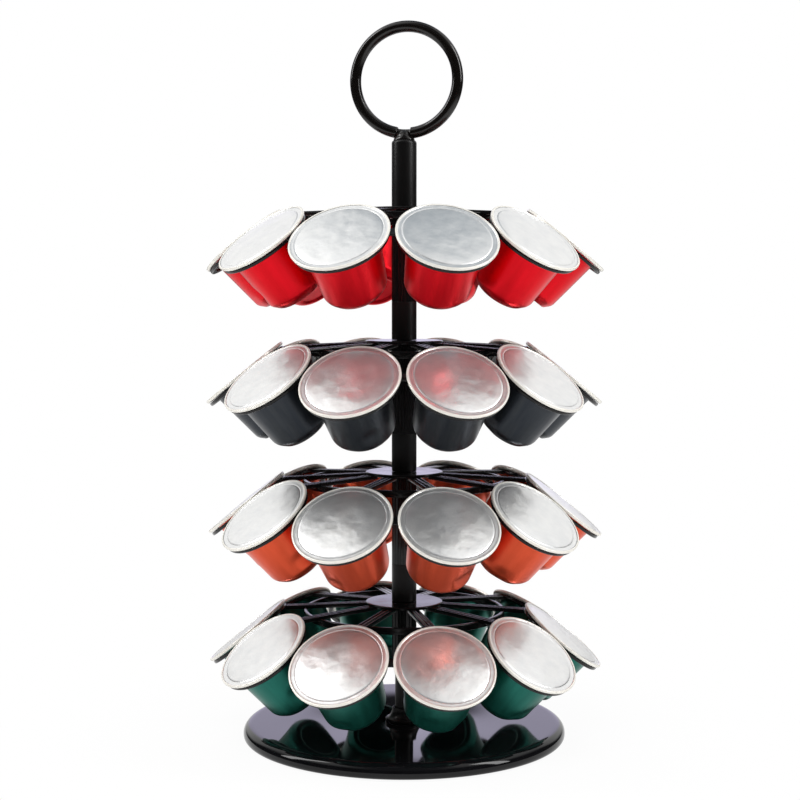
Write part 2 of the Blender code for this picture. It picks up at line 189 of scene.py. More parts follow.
# Each patch has its direction, the angles in degrees within which it is full and past which
# it is gone, and its colour. A later patch lies over an earlier one.
PATCHES = {
    "ceiling": ((0, 0.15, 1), 44, 66, (0.92, 0.93, 0.93)),
    "back panel": ((0, 1, 0.22), 18, 38, (0.96, 0.96, 0.95)),
    "back left panel": ((-0.42, 0.76, 0.50), 14, 28, (0.96, 0.96, 0.95)),
    "back right panel": ((0.42, 0.76, 0.50), 14, 28, (0.96, 0.96, 0.95)),
    "dark front of the ceiling": ((0, -0.50, 0.86), 14, 34, (0.10, 0.11, 0.12)),
    "left lamp": ((-0.50, 0.0, 0.86), 8, 30, (1.25, 1.25, 1.23)),
    "right lamp": ((0.52, 0.0, 0.85), 8, 30, (1.18, 1.18, 1.16)),
    "slate overhead": ((0.06, 0.41, 0.91), 8, 27, (0.24, 0.29, 0.33)),
    "slate behind": ((0, 0.72, 0.69), 6, 20, (0.22, 0.25, 0.28)),
    "bright low back": ((0, 0.97, 0.22), 10, 21, (1.12, 1.06, 1.38)),
    "dark slit behind": ((0, 0.906, 0.423), 7.8, 10.2, (0.03, 0.03, 0.035)),
}
direction = add_node(sky, "ShaderNodeTexCoord")


def add_patch(earlier, toward, full, gone, colour):
    """Paints a round patch with a soft edge over the earlier ones."""
    nearness = add_node(sky, "ShaderNodeVectorMath", operation="DOT_PRODUCT")
    nearness.inputs[1].default_value = Vector(toward).normalized()
    edge = value_range(sky, math.cos(math.radians(gone)), math.cos(math.radians(full)))
    patch = add_node(sky, "ShaderNodeMix", data_type="RGBA")
    below, above = [socket for socket in patch.inputs if socket.type == "RGBA"]
    above.default_value = (*colour, 1)
    if earlier is None:
        below.default_value = (*DARK_ROOM, 1)
    else:
        sky.links.new(earlier, below)
    join(sky, direction, "Generated", nearness, 0)
    join(sky, nearness, "Value", edge, "Value")
    join(sky, edge, "Result", patch, "Factor")
    return next(socket for socket in patch.outputs if socket.type == "RGBA")


room = None
for toward, full, gone, colour in PATCHES.values():
    room = add_patch(room, toward, full, gone, colour)
sky.links.new(room, mirrored.inputs["Color"])
print("patches", len(PATCHES))

# %% Which ray gets which look
path = add_node(sky, "ShaderNodeLightPath")
straight = add_node(sky, "ShaderNodeMath", operation="MAXIMUM")
join(sky, path, "Is Camera Ray", straight, 0)
join(sky, path, "Is Transmission Ray", straight, 1)
gloss_or_light = mix_shaders(sky, path.outputs["Is Glossy Ray"], lit, mirrored)
seen_or_not = mix_shaders(sky, straight.outputs[0], gloss_or_light, seen)
join(sky, seen_or_not, 0, add_node(sky, "ShaderNodeOutputWorld"), "Surface")
print("world nodes", len(sky.nodes))

# %% [markdown]
# ## The floor
# The stand is photographed on white. A floor that is only lit would show grey at its far end,
# so what the camera sees of it is partly plain white, more with the distance from the stand.
# Close by it keeps the stand's soft shadow. Gloss sees it end in the dark after half a metre,
# like a table in a dim room, so that the black pole stays black.

# %% Floor disc
FLOOR_RADIUS = 8
FLOOR_SIDES = 64

floor_shape = bmesh.new()
bmesh.ops.create_circle(floor_shape, cap_ends=True, segments=FLOOR_SIDES, radius=FLOOR_RADIUS)
floor_mesh = bpy.data.meshes.new("floor")
floor_shape.to_mesh(floor_mesh)
floor_shape.free()
floor = bpy.data.objects.new("floor", floor_mesh)
scene.collection.objects.link(floor)
print("floor radius", FLOOR_RADIUS, "m")

# %% Floor finish
FLOOR_GREY = (0.92, 0.92, 0.92, 1)
SHADOW_FADES_FROM, SHADOW_ENDS = 0.06, 0.16
WHITE_SHARE_NEAR = 0.94
TABLE_ENDS, ALL_DARK = 0.40, 1.00
DARKENING = 0.95

floor_finish = bpy.data.materials.new("pale_floor")
floor_finish.use_nodes = True
ground = floor_finish.node_tree
ground.nodes.clear()
matt = add_node(ground, "ShaderNodeBsdfDiffuse", Color=FLOOR_GREY)
plain_white = add_node(ground, "ShaderNodeEmission", Color=WHITE, Strength=1.0)
place_on_floor = add_node(ground, "ShaderNodeTexCoord")
floor_path = add_node(ground, "ShaderNodeLightPath")
distance = add_node(ground, "ShaderNodeVectorMath", operation="LENGTH")
join(ground, place_on_floor, "Object", distance, 0)

far = value_range(ground, SHADOW_FADES_FROM, SHADOW_ENDS, low=WHITE_SHARE_NEAR)
mirror_or_eye = add_node(ground, "ShaderNodeMath", operation="MAXIMUM")
share = add_node(ground, "ShaderNodeMath", operation="MULTIPLY")
join(ground, distance, "Value", far, "Value")
join(ground, floor_path, "Is Camera Ray", mirror_or_eye, 0)
join(ground, floor_path, "Is Glossy Ray", mirror_or_eye, 1)
join(ground, far, "Result", share, 0)
join(ground, mirror_or_eye, 0, share, 1)

beyond_table = value_range(ground, TABLE_ENDS, ALL_DARK, high=DARKENING)
dark_in_gloss = add_node(ground, "ShaderNodeMath", operation="MULTIPLY")
brightness = add_node(ground, "ShaderNodeMath", operation="SUBTRACT")
brightness.inputs[0].default_value = 1.0
join(ground, distance, "Value", beyond_table, "Value")
join(ground, beyond_table, "Result", dark_in_gloss, 0)
join(ground, floor_path, "Is Glossy Ray", dark_in_gloss, 1)
join(ground, dark_in_gloss, 0, brightness, 1)
join(ground, brightness, 0, plain_white, "Strength")

floor_mix = mix_shaders(ground, share.outputs[0], matt, plain_white)
join(ground, floor_mix, 0, add_node(ground, "ShaderNodeOutputMaterial"), "Surface")
floor_mesh.materials.append(floor_finish)
print("floor nodes", len(ground.nodes))

# %% [markdown]
# ## Lamps
# Two tall soft boxes, left and right of the stand and well above it, draw the thin bright
# lines on the handle. A third one in front lights the lids and is left out of the gloss,
# where the photograph shows none. Point lamps could do it with less, but area lamps give the
# long soft edges that a studio gives.

# %% Soft boxes
STAND_MIDDLE = Vector((0, 0, 0.13))


def soft_box(name, place, width, height, watts):
    """A soft area light that looks from its place at the middle of the stand."""
    data = bpy.data.lights.new(name, "AREA")
    data.shape = "RECTANGLE"
    data.size = width
    data.size_y = height
    data.energy = watts
    light = bpy.data.objects.new(name, data)
    scene.collection.objects.link(light)
    light.location = place
    light.rotation_euler = (STAND_MIDDLE - Vector(place)).to_track_quat("-Z", "Y").to_euler()
    print(name, "watts", watts)
    return light


soft_box("left_box", (-1.03, 0.02, 0.84), width=0.26, height=0.95, watts=5.6)
soft_box("right_box", (1.00, -0.33, 0.74), width=0.26, height=0.95, watts=6.8)
front_box = soft_box("front_box", (-0.25, -0.70, 1.05), width=0.60, height=0.45, watts=4.2)
front_box.visible_glossy = False

# %% [markdown]
# ## Turned shapes
# Most pieces are round: the capsules, the rings that hold them, the pole and the base. Each
# starts as a line of a few corner points, with a rounding for each corner. Bevelling the
# corners of the line before it is spun is cleaner than bevelling the finished solid, because
# every rounding then runs all the way round without a join.

# %% Helpers for spinning
MERGE_DISTANCE = 0.000002


def close_surface(shape):
    """Merges doubled points, closes round ends and turns every face outwards."""
    bmesh.ops.remove_doubles(shape, verts=shape.verts, dist=MERGE_DISTANCE)
    bmesh.ops.holes_fill(shape, edges=shape.edges)
    bmesh.ops.recalc_face_normals(shape, faces=shape.faces)


def spin_about_z(shape, steps):
    """Spins all points and edges once round the Z axis."""
    bmesh.ops.spin(
        shape,
        geom=shape.verts[:] + shape.edges[:],
        cent=(0, 0, 0),
        axis=(0, 0, 1),
        angle=2 * math.pi,
        steps=steps,
        use_merge=True,
        use_duplicate=False,
    )


print("points closer than", MERGE_DISTANCE, "m are merged")

# %% Helpers for turned shapes
ROUNDING_STEPS = 6
LARGEST_ROUNDING_SHARE = 0.9


def turned_shape(corners, sides, closed=False, longest=None):
    """A shape spun about Z from (radius, height, rounding) corners.

    Lines over the longest length get more points.
    """
    shape = bmesh.new()
    points = [shape.verts.new((radius, 0, height)) for radius, height, _ in corners]
    for pair in zip(points, points[1:]):
        shape.edges.new(pair)
    if closed:
        shape.edges.new((points[-1], points[0]))
    for point, (_, _, rounding) in zip(points, corners):
        room = min(edge.calc_length() for edge in point.link_edges)
        if rounding:
            bmesh.ops.bevel(
                shape,
                geom=[point],
                offset=min(rounding, LARGEST_ROUNDING_SHARE * room),
                segments=ROUNDING_STEPS,
                profile=0.5,
                affect="VERTICES",
                material=-1,
            )
    for edge in shape.edges[:]:
        pieces = math.ceil(edge.calc_length() / longest) if longest else 1
        if pieces > 1:
            bmesh.ops.subdivide_edges(shape, edges=[edge], cuts=pieces - 1)
    spin_about_z(shape, sides)
    close_surface(shape)
    return shape


def ring_corners(inner, outer, bottom, top, inner_rounding, outer_rounding):
    """The four corners of a plain ring or tube."""
    return [
        (inner, top, inner_rounding),
        (outer, top, outer_rounding),
        (outer, bottom, outer_rounding),
        (inner, bottom, inner_rounding),
    ]


print("helpers for turned shapes ready")


# %% [markdown]
# ## From shape to piece
# A shape becomes a mesh with smooth shading, where only edges past an angle stay sharp. The
# mesh then becomes a piece: it rides on its body and stands for the plain solids that it
# replaces. Doing that in one place keeps it the same for all.

# %% Helpers for pieces
def smooth_mesh(shape, name, finishes, sharp_degrees=40):
    """A smooth shaded mesh from a shape, with its finishes."""
    mesh = bpy.data.meshes.new(name)
    shape.to_mesh(mesh)
    shape.free()
    for finish in finishes:
        mesh.materials.append(finish)
    mesh.shade_smooth()
    mesh.set_sharp_from_angle(angle=math.radians(sharp_degrees))
    return mesh


def add_piece(name, mesh, body, nodes):
    """Puts a piece on its body, in place of the plain solids that it stands for."""
    piece = bpy.data.objects.new(name, mesh)
    scene.collection.objects.link(piece)
    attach(piece, body)
    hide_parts(*nodes)
    return piece


print("helpers for pieces ready")

# %% [markdown]
# ## Finishes of the stand
# The base is poured full of black gloss enamel, so it mirrors the room almost like glass. The
# pole is powder coated and has a softer shine. The handle is dipped in enamel and gleams. The
# tiers are moulded plastic with a faint ripple. One flat black would do from afar, but the
# gloss of a real coat is a little uneven and fine waves bend its reflections. So each finish
# gets two close shades, a gloss that wanders and some relief, all from noise that sits still
# on the object.

# %% Helpers for finishes
def new_finish(name, colour, metallic=0.0, specular=0.5):
    """A finish on the usual shader: the material, its node tree and the shader node."""
    finish = bpy.data.materials.new(name)
    finish.use_nodes = True
    shader = finish.node_tree.nodes["Principled BSDF"]
    shader.inputs["Base Color"].default_value = (*colour, 1)
    shader.inputs["Metallic"].default_value = metallic
    shader.inputs["Specular IOR Level"].default_value = specular
    finish.diffuse_color = (*colour, 1)
    return finish, finish.node_tree, shader


def add_noise(tree, place, scale, detail, roughness=0.5):
    """A noise pattern that reads a place."""
    waves = add_node(tree, "ShaderNodeTexNoise", Scale=scale, Detail=detail, Roughness=roughness)
    tree.links.new(place, waves.inputs["Vector"])
    return waves


print("helpers for finishes ready")

# %% Shades, gloss and relief
NOISE_LOW, NOISE_HIGH = 0.3, 0.7


def mottled(tree, shader, place, scale, dark, light):
    """A base colour that wanders between two close shades."""
    waves = add_noise(tree, place, scale, detail=4.0, roughness=0.6)
    ramp = add_node(tree, "ShaderNodeValToRGB")
    ends = ((NOISE_LOW, dark), (NOISE_HIGH, light))
    for stop, (position, colour) in zip(ramp.color_ramp.elements, ends):
        stop.position = position
        stop.color = (*colour, 1)
    join(tree, waves, "Fac", ramp, "Fac")
    join(tree, ramp, "Color", shader, "Base Color")


def uneven_gloss(tree, shader, place, scale, lowest, highest):
    """Roughness that wanders between two values."""
    waves = add_noise(tree, place, scale, detail=1.0)
    spread = value_range(tree, NOISE_LOW, NOISE_HIGH, lowest, highest, kind="LINEAR")
    join(tree, waves, "Fac", spread, "Value")
    join(tree, spread, "Result", shader, "Roughness")


def relief(tree, shader, place, scale, strength, depth, detail=2.0):
    """A fine bump from noise, on top of any bump that the shader has already."""
    waves = add_noise(tree, place, scale, detail)
    bump = add_node(tree, "ShaderNodeBump", Strength=strength, Distance=depth)
    join(tree, waves, "Fac", bump, "Height")
    earlier = shader.inputs["Normal"].links
    if earlier:
        tree.links.new(earlier[0].from_socket, bump.inputs["Normal"])
    join(tree, bump, "Normal", shader, "Normal")


def worked_finish(name, colour, shades, gloss, reliefs=(), metallic=0.0, specular=0.5):
    """A finish with two shades, an uneven gloss and reliefs that sit still on the object."""
    finish, tree, shader = new_finish(name, colour, metallic, specular)
    place = add_node(tree, "ShaderNodeTexCoord").outputs["Object"]
    mottled(tree, shader, place, **shades)
    uneven_gloss(tree, shader, place, **gloss)
    for bumps in reliefs:
        relief(tree, shader, place, **bumps)
    print(name)
    return finish


print("noise is read from", NOISE_LOW, "to", NOISE_HIGH)

# %% [markdown]
# ### Enamel of the base
# The base is steel under thick black enamel. A perfect mirror would look like wet ink, so the
# gloss stays a little rough, and one very weak relief bends what it mirrors. The specular
# level is lower than usual, because the real base gives the capsules back only dimly.

# %% Black enamel of the base
enamel = worked_finish(
    "black_enamel",
    colour=(0.004, 0.004, 0.005),
    shades=dict(scale=45, dark=(0.003, 0.003, 0.0036), light=(0.005, 0.005, 0.006)),
    gloss=dict(scale=60, lowest=0.03, highest=0.06),
    reliefs=[dict(scale=45, strength=0.02, depth=0.0002)],
    specular=0.28,
)

# %% [markdown]
# ### Coats of the pole and the handle
# Powder coat scatters light into a soft sheen, so the pole is much rougher than the base. The
# wire of the handle is a trace warmer and shows sharp lines of light. One black could serve
# for both, but the photograph shows them apart.

# %% Black coat of the pole and handle
coat = worked_finish(
    "black_powder_coat",
    colour=(0.003, 0.0028, 0.003),
    shades=dict(scale=90, dark=(0.0022, 0.0020, 0.0021), light=(0.0038, 0.0035, 0.0036)),
    gloss=dict(scale=110, lowest=0.34, highest=0.42),
    specular=0.34,
)
wire_coat = worked_finish(
    "black_wire_enamel",
    colour=(0.0035, 0.0026, 0.0022),
    shades=dict(scale=90, dark=(0.0030, 0.0022, 0.0018), light=(0.0046, 0.0035, 0.0030)),
    gloss=dict(scale=60, lowest=0.15, highest=0.17),
)

# %% [markdown]
# ### Plastic of the tiers
# Gloss plastic copies its mould and ripples faintly where it has shrunk. Two layers of relief
# make that, a broad one and a very fine one. Modelled ripples would take far more faces and
# show no more.

# %% Moulded black plastic of the tiers
plastic = worked_finish(
    "moulded_black_plastic",
    colour=(0.005, 0.0045, 0.005),
    shades=dict(scale=120, dark=(0.004, 0.0037, 0.004), light=(0.007, 0.0064, 0.0068)),
    gloss=dict(scale=140, lowest=0.12, highest=0.20),
    reliefs=[
        dict(scale=260, strength=0.10, depth=0.00015),
        dict(scale=1400, strength=0.05, depth=0.00004),
    ],
    specular=0.3,
)

# %% [markdown]
# ### Under the base
# Rubber is dull and grainy, nylon is milky and smooth, and zinc plating is a bright metal in
# cloudy patches. They hardly show, and plain colours would pass, but whoever turns the stand
# over should find them right.

# %% Rubber, nylon and zinc under the base
rubber = worked_finish(
    "dark_rubber",
    colour=(0.02, 0.02, 0.02),
    shades=dict(scale=200, dark=(0.015, 0.015, 0.015), light=(0.028, 0.028, 0.027)),
    gloss=dict(scale=300, lowest=0.75, highest=0.95),
    reliefs=[dict(scale=1800, strength=0.4, depth=0.0001)],
)
nylon = worked_finish(
    "natural_nylon",
    colour=(0.75, 0.74, 0.70),
    shades=dict(scale=300, dark=(0.70, 0.69, 0.64), light=(0.78, 0.77, 0.73)),
    gloss=dict(scale=400, lowest=0.38, highest=0.52),
)
zinc = worked_finish(
    "zinc_plate",
    colour=(0.55, 0.55, 0.56),
    shades=dict(scale=350, dark=(0.48, 0.48, 0.50), light=(0.62, 0.62, 0.60)),
    gloss=dict(scale=500, lowest=0.28, highest=0.42),
    metallic=1.0,
)

# %% [markdown]
# ## Finishes of the capsules
# A capsule is drawn from thin aluminium. Its body is lacquered: the metal shines through the
# colour in long soft streaks, with faint drawing lines that run from lid to foot. The rolled
# rim is bare and a little creamy, and the lid is foil, pressed flat in a ring where it is
# sealed and slightly crinkled in the middle. The streaks have to follow each capsule, not the
# room, so they read a place that is stored on the mesh before the capsule is tilted.
# The gloss of these metals stays above 0.28, because the render's noise filter treats gloss
# just below that as a mirror, and a metal that wandered across the line came out speckled.

# %% Lacquers
LACQUERS = {
    "green": ((0.010, 0.115, 0.088), (0.015, 0.150, 0.116)),
    "orange": ((0.66, 0.078, 0.028), (0.76, 0.100, 0.040)),
    "dark": ((0.026, 0.031, 0.040), (0.044, 0.049, 0.055)),
    "red": ((0.70, 0.0010, 0.0080), (0.80, 0.0020, 0.0120)),
}
LACQUER_METAL = 0.80
STREAK_STRETCH = (1.0, 1.0, 0.06)
OWN_PLACE = "own_place"


def lacquer(colour):
    """Coloured lacquer on drawn aluminium."""
    dark, light = LACQUERS[colour]
    finish, tree, shader = new_finish(colour + "_lacquer", light, metallic=LACQUER_METAL)
    where = add_node(tree, "ShaderNodeAttribute", attribute_type="GEOMETRY")
    where.attribute_name = OWN_PLACE
    drawn = add_node(tree, "ShaderNodeMapping", Scale=STREAK_STRETCH)
    join(tree, where, "Vector", drawn, "Vector")
    place, along = where.outputs["Vector"], drawn.outputs["Vector"]
    mottled(tree, shader, along, scale=320, dark=dark, light=light)
    uneven_gloss(tree, shader, along, scale=420, lowest=0.285, highest=0.36)
    relief(tree, shader, along, scale=900, strength=0.07, depth=0.00006)
    relief(tree, shader, place, scale=160, strength=0.20, depth=0.0002)
    return finish


lacquers = {colour: lacquer(colour) for colour in TIER_COLOURS}
print([finish.name for finish in lacquers.values()])

# %% [markdown]
# ### Rim and foil
# The rim is the bare edge of the cup, rolled over. The foil is the brightest thing on the
# stand, and two layers of relief give it fine crinkles. The larger ones are modelled further
# on, because they also move the light on the lid as a whole.

# %% Bare rim and foil lid
rim_metal = worked_finish(
    "rolled_rim",
    colour=(0.88, 0.85, 0.78),
    shades=dict(scale=260, dark=(0.84, 0.81, 0.74), light=(0.91, 0.89, 0.83)),
    gloss=dict(scale=500, lowest=0.29, highest=0.40),
    metallic=0.35,
)
foil = worked_finish(
    "foil_lid",
    colour=(0.84, 0.84, 0.84),
    shades=dict(scale=220, dark=(0.80, 0.805, 0.81), light=(0.89, 0.888, 0.88)),
    gloss=dict(scale=380, lowest=0.282, highest=0.34),
    reliefs=[
        dict(scale=260, strength=0.45, depth=0.0002, detail=1.0),
        dict(scale=700, strength=0.40, depth=0.00008, detail=1.0),
    ],
    metallic=0.86,
)

# %% [markdown]
# ## The capsule
# From the middle outwards the outline runs over the pillow of the foil, down into the seam,
# across the flat sealed ring with its fine step, up over the rolled rim, back under it to the
# tapered body, round the foot and into the hollow of the floor. A capsule could be a cone
# with a disc on it, but spinning this one line gives the whole closed shape at once.

# %% Capsule outline
RIM_RADIUS = 0.0184
FLANGE_THICKNESS = 0.0012
CAPSULE_HEIGHT = 0.0256
SHOULDER = -0.0230
SEAM_START = 0.0157
# Each corner has a radius, a height and a rounding.
LID_OUTLINE = [
    (0.0, 0.00045, 0),
    (0.0050, 0.00040, 0),
    (0.0095, 0.00026, 0),
    (0.0135, 0.00004, 0),
    (SEAM_START, -0.00018, 0.0004),
    (0.0160, -0.00034, 0.0001),
    (0.0163, -0.00027, 0.0001),
    (0.0169, -0.00027, 0.0001),
    (0.0175, -0.00024, 0.0001),
]
RIM_OUTLINE = [
    (0.0177, 0.0, 0.00018),
    (RIM_RADIUS, 0.0, 0.00035),
    (RIM_RADIUS, -FLANGE_THICKNESS, 0.0005),
]
BODY_OUTLINE = [
    (0.0145, -FLANGE_THICKNESS, 0.0001),
    (0.0141, -0.0016, 0.0002),
    (0.0118, SHOULDER, 0.0011),
    (0.0094, -CAPSULE_HEIGHT, 0.0006),
    (0.0080, -CAPSULE_HEIGHT, 0.0003),
    (0.0073, -0.0250, 0.0003),
    (0.0, -0.0248, 0),
]
print("outline points", len(LID_OUTLINE + RIM_OUTLINE + BODY_OUTLINE))

# %% [markdown]
# ### Foil, rim and body
# A real capsule is a lacquered cup with a foil lid sealed on it. It could be two meshes, but
# one closed mesh with three materials can't come apart, and each face gets its material from
# how far out and how high it lies.

# %% One clean capsule
FOIL, RIM, BODY = 0, 1, 2
CAPSULE_SIDES = 72
LONGEST_CAPSULE_LINE = 0.0014
FOIL_EDGE = 0.0176
BODY_EDGE = 0.0146
ABOVE_UNDERSIDE = -FLANGE_THICKNESS + 0.00001
AT_UNDERSIDE = -FLANGE_THICKNESS - 0.00005


def capsule_shape():
    """One clean capsule, lid centre at the origin, with foil, rim and body told apart."""
    outline = LID_OUTLINE + RIM_OUTLINE + BODY_OUTLINE
    shape = turned_shape(outline, CAPSULE_SIDES, longest=LONGEST_CAPSULE_LINE)
    for face in shape.faces:
        centre = face.calc_center_median()
        out = math.hypot(centre.x, centre.y)
        if centre.z > ABOVE_UNDERSIDE and out < FOIL_EDGE:
            face.material_index = FOIL
        elif centre.z > AT_UNDERSIDE and out > BODY_EDGE:
            face.material_index = RIM
        else:
            face.material_index = BODY
    return shape


clean_capsule = bpy.data.meshes.new("clean_capsule")
first_shape = capsule_shape()
first_shape.to_mesh(clean_capsule)
print("capsule faces", len(first_shape.faces))
first_shape.free()

# %% [markdown]
# ## Wear
# Thin metal is never quite round, and forty copies that are all alike would give the picture
# away. So the capsule is made once and then copied, and each copy is turned by its own
# amount, its foil is crinkled and its body is dented in its own way. A bump in the finish
# could draw dents too, but real dents also bend the outline.

# %% Crinkles and dents
CRINKLE_FADE = 0.003
# A scale of the noise, and how far it moves a point
BROAD_CRINKLE = (170, 0.00014)
FINE_CRINKLE = (420, 0.00004)
CALM_MIDDLE = 0.004
LID_DEPTH = -0.0005
DENTS_BELOW = -0.004
FOOT_RADIUS = 0.0085
UPPER_SIDE_STEEPER, LOWER_SIDE_GENTLER = 1.6, 0.8
BODY_RIPPLE = (120, 0.00008)


def crinkle_lid(vertex, seed):
    """Lifts or sinks a point of the foil by a little, more in the middle than at the seam."""
    out = math.hypot(vertex.co.x, vertex.co.y)
    if out < SEAM_START and vertex.co.z > LID_DEPTH:
        fade = min(1.0, (SEAM_START - out) / CRINKLE_FADE)
        broad = noise.noise(vertex.co * BROAD_CRINKLE[0] + seed)
        fine = noise.noise(vertex.co * FINE_CRINKLE[0] + seed) * min(1.0, out / CALM_MIDDLE)
        vertex.co.z += fade * (BROAD_CRINKLE[1] * broad + FINE_CRINKLE[1] * fine)


def dent_body(vertex, dents):
    """Pushes a point of the body inwards where a dent is, with a sharper upper side."""
    out = math.hypot(vertex.co.x, vertex.co.y)
    if vertex.co.z > DENTS_BELOW or out < FOOT_RADIUS:
        return
    around = math.atan2(vertex.co.y, vertex.co.x)
    inward = 0.0
    for angle, height, width, depth in dents:
        turn = math.remainder(around - angle, 2 * math.pi) * out
        stretch = UPPER_SIDE_STEEPER if vertex.co.z > height else LOWER_SIDE_GENTLER
        near = math.hypot(turn, (vertex.co.z - height) * stretch) / width
        inward += depth * max(0.0, 1 - near) ** 2 * (3 - 2 * max(0.0, 1 - near))
    inward -= BODY_RIPPLE[1] * noise.noise(vertex.co * BODY_RIPPLE[0])
    factor = 1 - inward / out
    vertex.co.x *= factor
    vertex.co.y *= factor


print("seam at", SEAM_START, "dents below", DENTS_BELOW)

# %% [markdown]
# ### One worn copy
# Each dent gets its own place, size and depth, and most are on the side that looks out, where
# they are seen. The streaks of the lacquer need to know where a point was before the capsule
# was tilted, so that place is stored on the mesh as well.

# %% A worn copy
DENT_COUNTS = {"green": (1, 2, 3), "orange": (1, 1, 2), "dark": (0, 1, 1), "red": (0, 1, 1)}
DENT_SIDE, DENT_SIDE_SPREAD = -math.pi / 2, 0.8
DENT_HEIGHTS = (-0.0225, -0.0150)
DENT_WIDTHS = (0.0040, 0.0075)
DENT_DEPTHS = (0.0004, 0.0009)
NOISE_ROOM = 50


def chance_dent(chance):
    """The angle, height, width and depth of one dent."""
    angle = chance.gauss(DENT_SIDE, DENT_SIDE_SPREAD)
    height = chance.uniform(*DENT_HEIGHTS)
    return angle, height, chance.uniform(*DENT_WIDTHS), chance.uniform(*DENT_DEPTHS)


def worn_capsule(name, colour, place, chance):
    """A copy of the clean capsule with its own turn, crinkles and dents, in its place."""
    shape = bmesh.new()
    shape.from_mesh(clean_capsule)
    own_turn = Matrix.Rotation(chance.uniform(0, 2 * math.pi), 4, "Z")
    bmesh.ops.transform(shape, matrix=own_turn, verts=shape.verts)
    seed = Vector([chance.uniform(0, NOISE_ROOM) for _ in range(3)])
    dents = [chance_dent(chance) for _ in range(chance.choice(DENT_COUNTS[colour]))]
    for vertex in shape.verts:
        crinkle_lid(vertex, seed)
        dent_body(vertex, dents)
    own_place = shape.verts.layers.float_vector.new(OWN_PLACE)
    for vertex in shape.verts:
        vertex[own_place] = vertex.co + seed
    bmesh.ops.transform(shape, matrix=place, verts=shape.verts)
    return smooth_mesh(shape, name, (foil, rim_metal, lacquers[colour]), sharp_degrees=60)


print("dents per capsule", DENT_COUNTS)

# %% [markdown]
# ### Forty capsules
# Every capsule is a piece of its own, because each one lifts out by itself. Linked copies of
# one mesh would save memory, but they would all have the same dents. The fixed seed makes
# the same forty each time.

# %% Forty capsules
WEAR_SEED = 29

chance = random.Random(WEAR_SEED)
for level, colour in enumerate(TIER_COLOURS):
    for index in range(CUPS_PER_TIER):
        node = f"{colour}_capsule_{index + 1:02d}"
        name = node + "_dressed"
        mesh = worn_capsule(name, colour, tier_frame(level) @ cup_frame(index), chance)
        add_piece(name, mesh, node, [node])
    print(colour, "capsules done")

# %% [markdown]
# ## The moulded tier
# One moulding holds ten capsules: a flat hub disc, a fluted sleeve below it, ten arms with
# two grooves between three ridges, a hoop that ties the arms, ten leaning rings and short
# ties between the rings. It could be one welded mesh, but the pieces of a moulding meet in
# clean lines here, so overlapping closed shapes in one object look the same and stay simple
# to read. Each is made once, and copied to its places.

# %% Helpers for the moulding
IN_PLACE = [Matrix.Identity(4)]


def add_copies(target, shape, places):
    """Adds a shape to a target once for each place, and frees it."""
    stamp = bpy.data.meshes.new("stamp")
    shape.to_mesh(stamp)
    shape.free()
    for place in places:
        known = len(target.verts)
        target.from_mesh(stamp)
        target.verts.ensure_lookup_table()
        bmesh.ops.transform(target, matrix=place, verts=target.verts[known:])
    bpy.data.meshes.remove(stamp)


def move_grown(shape, grown, step):
    """Moves the points that an extrusion has just made."""
    moved = [item for item in grown["geom"] if isinstance(item, bmesh.types.BMVert)]
    bmesh.ops.translate(shape, verts=moved, vec=step)


def round_edges(shape, edges, rounding, steps):
    """Rounds straight edges."""
    bmesh.ops.bevel(
        shape,
        geom=edges,
        offset=rounding,
        segments=steps,
        profile=0.5,
        affect="EDGES",
        material=-1,
    )


print("helpers for the moulding ready")

# %% [markdown]
# ### Rings
# A capsule hangs by its flange in a thin flat ring. A torus would be too round for it and a
# pipe too sharp, so a section with four softened corners is spun.

# %% Rings
CUP_INNER_RADIUS = 0.0160
CUP_OUTER_RADIUS = 0.0178
CUP_TOP = -0.0015
CUP_HEIGHT = 0.0013
CUP_BOTTOM = CUP_TOP - CUP_HEIGHT
CUP_MIDDLE = CUP_TOP - CUP_HEIGHT / 2
CUP_ROUNDINGS = (0.0003, 0.0004)
CUP_SIDES = 80


def ring_shape():
    """The leaning ring that a capsule hangs in."""
    corners = ring_corners(
        CUP_INNER_RADIUS, CUP_OUTER_RADIUS, CUP_BOTTOM, CUP_TOP, *CUP_ROUNDINGS
    )
    return turned_shape(corners, CUP_SIDES, closed=True)


print("ring", CUP_OUTER_RADIUS * 2, "m across")

# %% [markdown]
# ### Ties
# A short tie joins each ring to the next at the one place where they come closest. It could
# be set there by eye, but for leaning circles the place follows from the lean and from the
# number of rings, so it is worked out.

# %% Ties between the rings
TIE_WIDTH, TIE_HEIGHT = 0.0036, 0.0009
TIE_MIDDLE = CUP_BOTTOM + TIE_HEIGHT / 2
TIE_SINK = 0.0008
TIE_ROUNDING = 0.0003
SHORTEST_LONG_EDGE = 0.0005


def neighbour_reach():
    """From a ring's middle to the plane halfway to the next ring: distance and point."""
    half = CUP_STEP / 2
    rise = math.atan(math.cos(CUP_LEAN) * math.tan(half))
    lean_back = math.sin(rise) * math.cos(CUP_LEAN) * math.sin(half)
    centre_radius = CUP_CIRCLE_RADIUS + TIE_MIDDLE * math.sin(CUP_LEAN)
    reach = centre_radius * math.sin(half) / (lean_back + math.cos(rise) * math.cos(half))
    return reach, Vector((reach * math.cos(rise), reach * math.sin(rise), TIE_MIDDLE))


def tie_shape():
    """A short rounded tie between two rings."""
    shape = bmesh.new()
    length = 2 * (neighbour_reach()[0] - CUP_OUTER_RADIUS + TIE_SINK)
    size = Matrix.Diagonal((length, TIE_WIDTH, TIE_HEIGHT, 1))
    bmesh.ops.create_cube(shape, size=1, matrix=size)
    long_edges = [
        edge
        for edge in shape.edges
        if abs(edge.verts[0].co.x - edge.verts[1].co.x) > SHORTEST_LONG_EDGE
    ]
    round_edges(shape, long_edges, TIE_ROUNDING, steps=3)
    return shape


